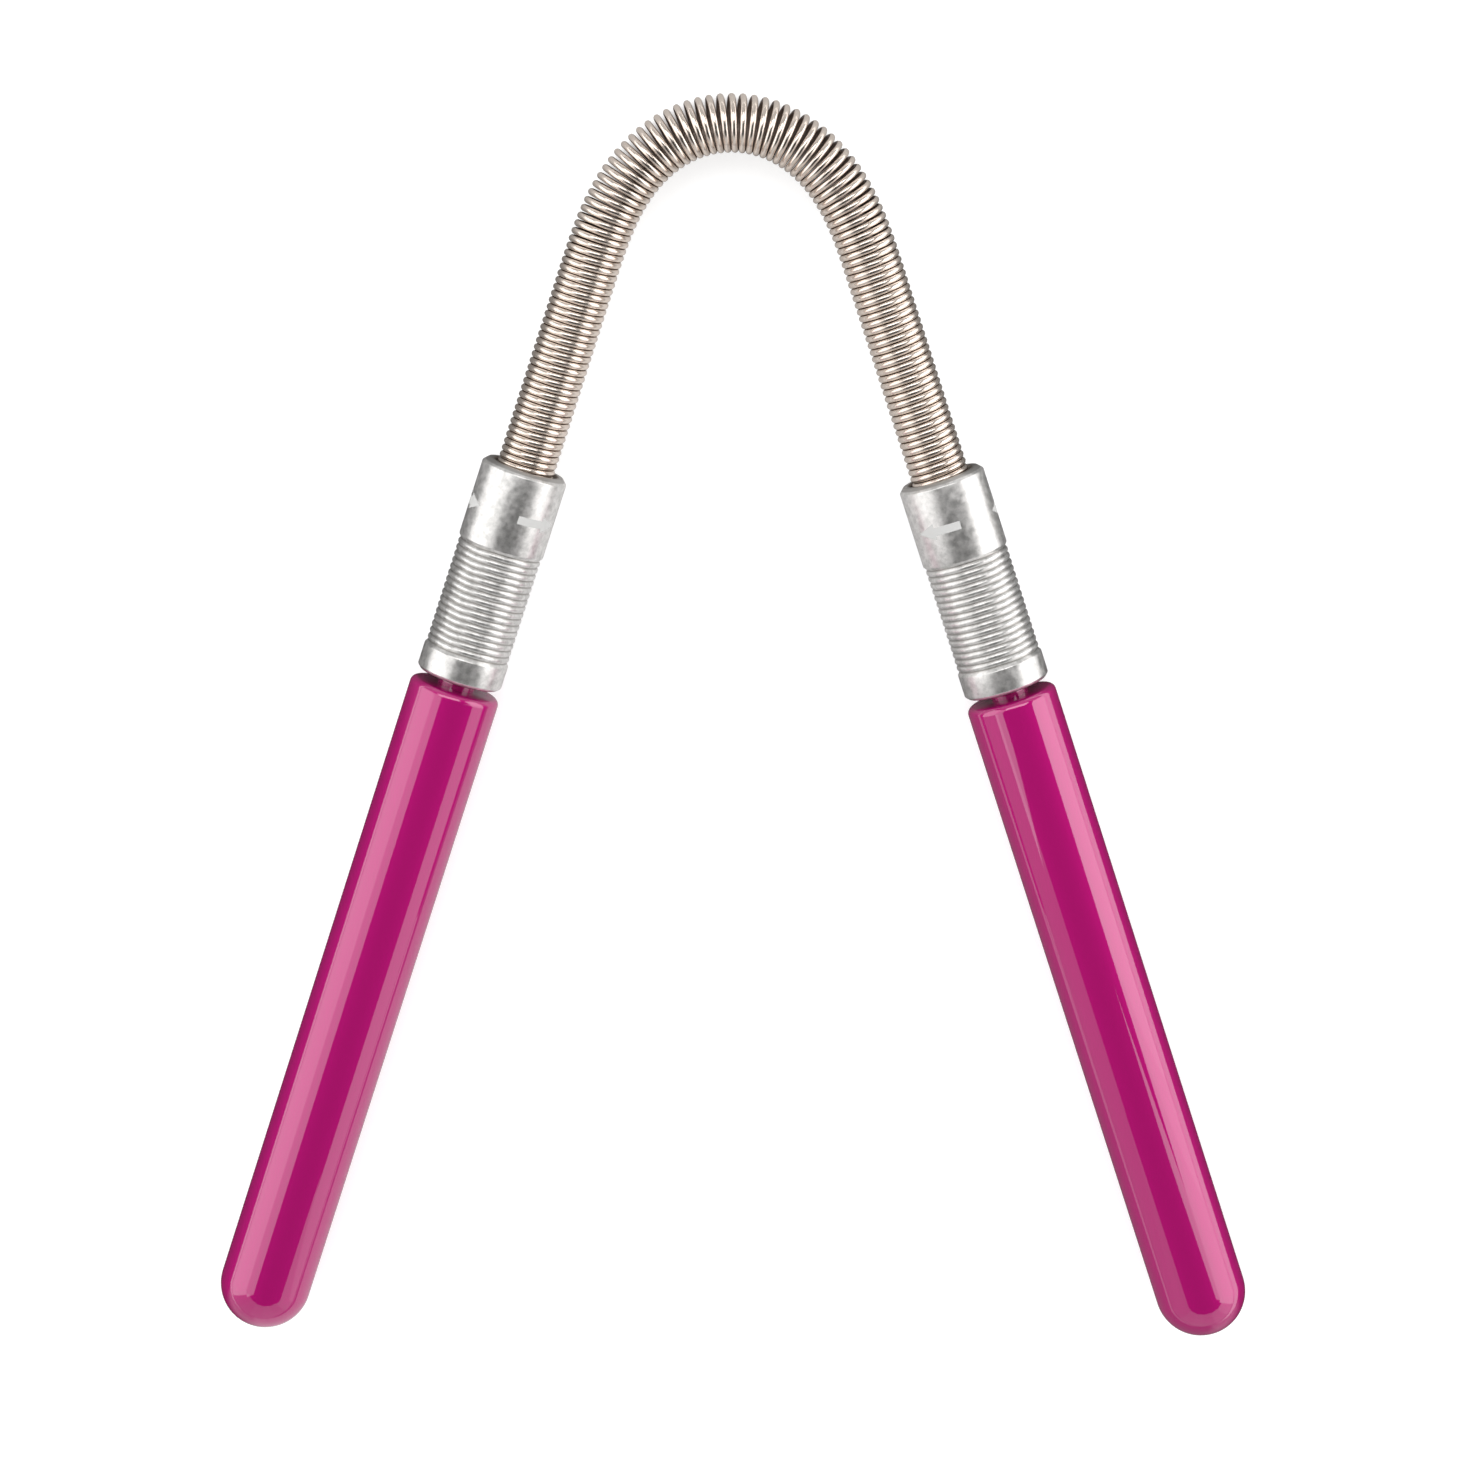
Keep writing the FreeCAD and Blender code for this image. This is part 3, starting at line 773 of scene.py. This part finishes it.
def handle_outline():
    """From the screw hole's end back up the hole, down the journal, neck and bar to the tip."""
    round_end = HANDLE_TIP - HANDLE_RADIUS
    bore = [
        (0, SCREW_HOLE_END),
        (SCREW_HOLE_RADIUS, SCREW_HOLE_END - SCREW_HOLE_RADIUS),
        (SCREW_HOLE_RADIUS, JOURNAL_END),
        (JOURNAL_RADIUS, JOURNAL_END),
        (JOURNAL_RADIUS, NECK_SHOULDER),
        (NECK_RADIUS, NECK_SHOULDER),
        (NECK_RADIUS, HANDLE_TOP),
    ]
    edge = quarter_round(HANDLE_RADIUS - HANDLE_EDGE, HANDLE_TOP + HANDLE_EDGE, HANDLE_EDGE, -90, 0)
    tip = quarter_round(0, round_end, HANDLE_RADIUS, 0, 90, steps=32)
    tip[-1] = (0, HANDLE_TIP)
    return chain("handle_outline", bore + edge + tip)


def make_leg(side, materials, trees):
    place = {"Mouth": mouth_of(side) * MM, "Along": along_leg(side)}
    ferrule = grow(
        f"{side}_ridged_ferrule", trees["ridged"], ferrule_outline(), **place,
        Segments=SEGMENTS, Rows_Added=1, Ridge_Count=RIDGE_COUNT, Ridge_Pitch=GROOVE_PITCH * MM,
        First_Valley=UPPER_BAND * MM, Valley_Radius=VALLEY_RADIUS * MM,
        Ridge_Radius=GRIP_RADIUS * MM, Flank_Width=GROOVE_HALF_WIDTH * MM, Ridge_Round=RIDGE_ROUND * MM,
        Material=materials[f"{side}_ferrule"],
    )
    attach(ferrule, "coil_and_ferrules")
    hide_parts(f"{side}_ferrule")

    marks = grow(
        f"{side}_direction_marks", trees["marks"], bpy.data.meshes.new("marks_base"), **place,
        Band_Radius=BAND_RADIUS * MM, Depth=MARK_DEPTH * MM, Count=MARK_COUNT,
        First_Angle=FIRST_MARK[side], Heading=float(-SIDES[side]), Mark_Length=MARK_LENGTH * MM,
        Shaft_Height=MARK_SHAFT_HEIGHT * MM, Head_Length=MARK_HEAD_LENGTH * MM,
        Head_Height=MARK_HEAD_HEIGHT * MM, Shoulder=MARK_SHOULDER * MM, Relief=MARK_RELIEF * MM,
        Material=materials["mark"],
    )
    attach(marks, "coil_and_ferrules")

    handle = grow(
        f"{side}_round_handle", trees["turned"], handle_outline(), **place,
        Segments=SEGMENTS, Rows_Added=0, Material=materials["handle"],
    )
    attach(handle, f"{side}_handle")
    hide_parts(f"{side}_handle")

    for hidden in ("spring_plug", "retaining_screw"):
        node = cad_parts[f"{side}_{hidden}"]
        node.data.materials.clear()
        node.data.materials.append(materials["inner_steel"])


def add_panel(name, place, target, width, height, radiance):
    """A soft panel lamp, given by how bright its face looks."""
    lamp = bpy.data.lights.new(name, "AREA")
    lamp.shape = "RECTANGLE"
    lamp.size = width
    lamp.size_y = height
    lamp.energy = radiance * math.pi * width * height
    panel = bpy.data.objects.new(name, lamp)
    panel.location = place
    facing = Vector(target) - Vector(place)
    panel.rotation_euler = facing.to_track_quat("-Z", "Y").to_euler()
    bpy.context.scene.collection.objects.link(panel)


def add_floor():
    """White to the camera, and in reflections painted shade: pale within the arch and dim outside the
    legs.
    """
    bpy.ops.mesh.primitive_plane_add(size=6)
    floor = bpy.context.object
    floor.name = "floor"
    material, nodes, shader = new_material(
        "white_floor", Roughness=0.9, Specular_IOR_Level=0.0, Emission_Color=WHITE,
    )
    seen = nodes.add("ShaderNodeLightPath").outputs
    glow = nodes.math("MULTIPLY", seen["Is Camera Ray"], FLOOR_GLOW)
    nodes.feed(shader.inputs["Emission Strength"], glow)

    place = nodes.add("ShaderNodeTexCoord").outputs["Object"]
    parts = nodes.add("ShaderNodeSeparateXYZ", {"Vector": place}).outputs
    sideways = nodes.math("MULTIPLY", nodes.math("ABSOLUTE", parts["X"]), math.cos(LEG_SPLAY))
    from_top = nodes.math("ADD", sideways, nodes.math("MULTIPLY", parts["Y"], math.sin(LEG_SPLAY)))
    mouth = mouth_of("right")
    leg_line = mouth.x * math.cos(LEG_SPLAY) + mouth.y * math.sin(LEG_SPLAY)
    past_leg = nodes.math("SUBTRACT", from_top, leg_line * MM)
    on_right = nodes.math("GREATER_THAN", parts["X"], 0.0)
    band = ramp(nodes, on_right, 0.0, 1.0, LEG_SHADOW_BAND["left"] * MM, LEG_SHADOW_BAND["right"] * MM)

    def step_along(low, high, first, second):
        """One level up to a certain y, and another from a certain y on."""
        return mix(nodes, ramp(nodes, parts["Y"], low * MM, high * MM), first, second)

    handles_on = step_along(-64, -56, PAST_TIPS, PAST_HANDLES)
    ferrules_on = step_along(2, 8, handles_on, PAST_FERRULES)
    coil_on = step_along(20, 26, ferrules_on, PAST_COIL)
    outside = step_along(42, 52, coil_on, PAST_ARCH)
    inside_right = step_along(2, 8, INSIDE_RIGHT_HANDLE, INSIDE_RIGHT_LEG)
    inside = mix(nodes, on_right, INSIDE_LEFT_LEG, inside_right)
    past_arch = ramp(nodes, parts["Y"], 46 * MM, 54 * MM)
    outdoors = nodes.math("MAXIMUM", past_arch, ramp(nodes, past_leg, -2 * MM, 2 * MM))
    near = mix(nodes, outdoors, inside, outside)
    far = step_along(-220, -150, FAR_FRONT_FLOOR, FAR_FLOOR)
    # Painted shadow: in reflections the floor is dim in a band beside each leg, and its levels elsewhere
    # are painted shade.
    painted_reflection_shade = mix(nodes, nodes.math("GREATER_THAN", past_leg, band), near, far)
    plain = mix(nodes, seen["Is Camera Ray"], FLOOR_LIT, FLOOR_SEEN)
    shade = mix(nodes, seen["Is Glossy Ray"], plain, painted_reflection_shade)
    nodes.feed(shader.inputs["Base Color"], nodes.join_xyz(shade, shade, shade))
    floor.data.materials.append(material)


def add_contact_shadow():
    """A soft dark strip on the floor under the coil, seen through the turns that stand open."""
    half_length = 40.0
    half_width = 2.5
    height = 0.05
    steps = 120
    columns = (-1.0, -0.6, 0.0, 0.6, 1.0)
    top = top_of_arch()
    top.z = height
    spots = []
    for index in range(-steps, steps + 1):
        sign = math.copysign(1, index)
        length = abs(index) / steps * half_length
        across, down = leg_start(length)
        centre = top + Vector((sign * across, -down, 0))
        outward = Vector((sign * math.sin(slope(length)), math.cos(slope(length)), 0))
        spots += [(centre + outward * half_width * share) * MM for share in columns]
    width = len(columns)
    faces = []
    for row in range(2 * steps):
        for column in range(width - 1):
            corner = row * width + column
            faces.append((corner, corner + 1, corner + 1 + width, corner + width))
    mesh = bpy.data.meshes.new("contact_shadow")
    mesh.from_pydata(spots, [], faces)
    cover = mesh.attributes.new("cover", "FLOAT", "POINT")
    for index in range(len(spots)):
        cover.data[index].value = 1.0 - abs(columns[index % width])
    strip = bpy.data.objects.new("contact_shadow", mesh)
    bpy.context.scene.collection.objects.link(strip)
    material, nodes, shader = new_material(
        "shadow_on_floor", Base_Color=FLOOR_SHADOW, Roughness=1.0, Specular_IOR_Level=0.0,
    )
    covered = nodes.add("ShaderNodeAttribute", attribute_name="cover").outputs["Fac"]
    nodes.feed(shader.inputs["Alpha"], ramp(nodes, covered, 0.1, 0.8))
    mesh.materials.append(material)


def add_world():
    world = bpy.data.worlds.new("studio")
    world.use_nodes = True
    bpy.context.scene.world = world
    nodes = Nodes(world.node_tree)
    ground = world.node_tree.nodes["Background"]
    seen = nodes.add("ShaderNodeLightPath").outputs
    level = mix(nodes, seen["Is Glossy Ray"], WORLD_SOFT, WORLD_IN_GLOSS)
    shown = mix(nodes, seen["Is Camera Ray"], level, 1.0)
    nodes.feed(ground.inputs["Strength"], shown)
    ground.inputs["Color"].default_value = WHITE


def add_lights():
    """Upright soft walls round the object, each one seen as a stripe in a certain leg."""
    foot = 0.012
    wall_top = 0.46
    wall_away = 0.5
    # Each side wall has its near and far end, its lower and upper edge, and its radiance.
    side_walls = (
        ("left_panel", -wall_away, (-0.235, 0.45), (foot, wall_top), 1.45),
        ("left_upper_panel", -wall_away, (-0.32, 0.45), (wall_top, 0.96), 1.0),
        ("left_high_panel", -wall_away, (0.155, 0.45), (0.96, 1.3), 0.8),
        ("right_upper_panel", wall_away, (-0.172, -0.09), (wall_top, 0.85), 1.2),
        ("right_panel", wall_away, (-0.005, 0.45), (foot, wall_top), 1.9),
        ("right_near_panel", wall_away, (-0.035, -0.005), (foot, wall_top), 1.75),
        ("right_front_panel", wall_away, (-0.235, -0.035), (foot, wall_top), 1.6),
    )
    for name, away, (near, far), (bottom, top), radiance in side_walls:
        place = (away, (near + far) / 2, (bottom + top) / 2)
        add_panel(name, place, (0, place[1], place[2]), far - near, top - bottom, radiance)

    # The front wall is bent round the handles' tips, from the left to the right.
    tops = (0.59, 0.57, 0.53, 0.51, 0.49, 0.44, 0.40)
    radiances = (0.4, 0.44, 0.52, 0.56, 0.52, 0.65, 0.85)
    radius = 0.55
    middle = Vector((0, -0.05, 0))
    step = math.radians(20)
    middle_panel = len(tops) // 2
    for index, (top, radiance) in enumerate(zip(tops, radiances)):
        angle = (index - middle_panel) * step
        place = middle + Vector((math.sin(angle), -math.cos(angle), 0)) * radius
        place.z = (foot + top) / 2
        target = middle + Vector((0, 0, place.z))
        width = 2 * radius * math.tan(step / 2)
        add_panel(f"front_panel_{index}", place, target, width, top - foot, radiance)

    back_top = 0.38
    place = Vector((0, 0.55, (foot + back_top) / 2))
    add_panel("back_panel", place, (0, 0, place.z), 0.9, back_top - foot, 0.45)
    add_panel("high_back_panel", (0, 0.42, 0.66), (0, 0, 0), 0.8, 0.42, 2.2)


def add_camera():
    """Looks down from beyond the top of the arch, tilted back towards the handles."""
    sensor = 36
    focal_length = 119.89
    tilt = math.radians(-10.506)
    lens = bpy.data.cameras.new("camera")
    lens.sensor_width = sensor
    lens.sensor_height = sensor
    lens.lens = focal_length
    lens.clip_start = 10 * MM
    camera = bpy.data.objects.new("camera", lens)
    camera.location = Vector((0.168, 77.46, 425.23)) * MM
    camera.rotation_euler = (tilt, 0, 0)
    bpy.context.scene.collection.objects.link(camera)
    bpy.context.scene.camera = camera


def build():
    materials = make_materials()
    turning = turning_group()
    trees = {"turned": turned_tree(turning), "ridged": ridged_tree(turning), "marks": marks_tree()}
    make_coil(materials["wire"])
    for side in SIDES:
        make_leg(side, materials, trees)
    add_floor()
    add_contact_shadow()
    add_world()
    add_lights()
    add_camera()
    bpy.context.scene.view_settings.view_transform = "Standard"


build()
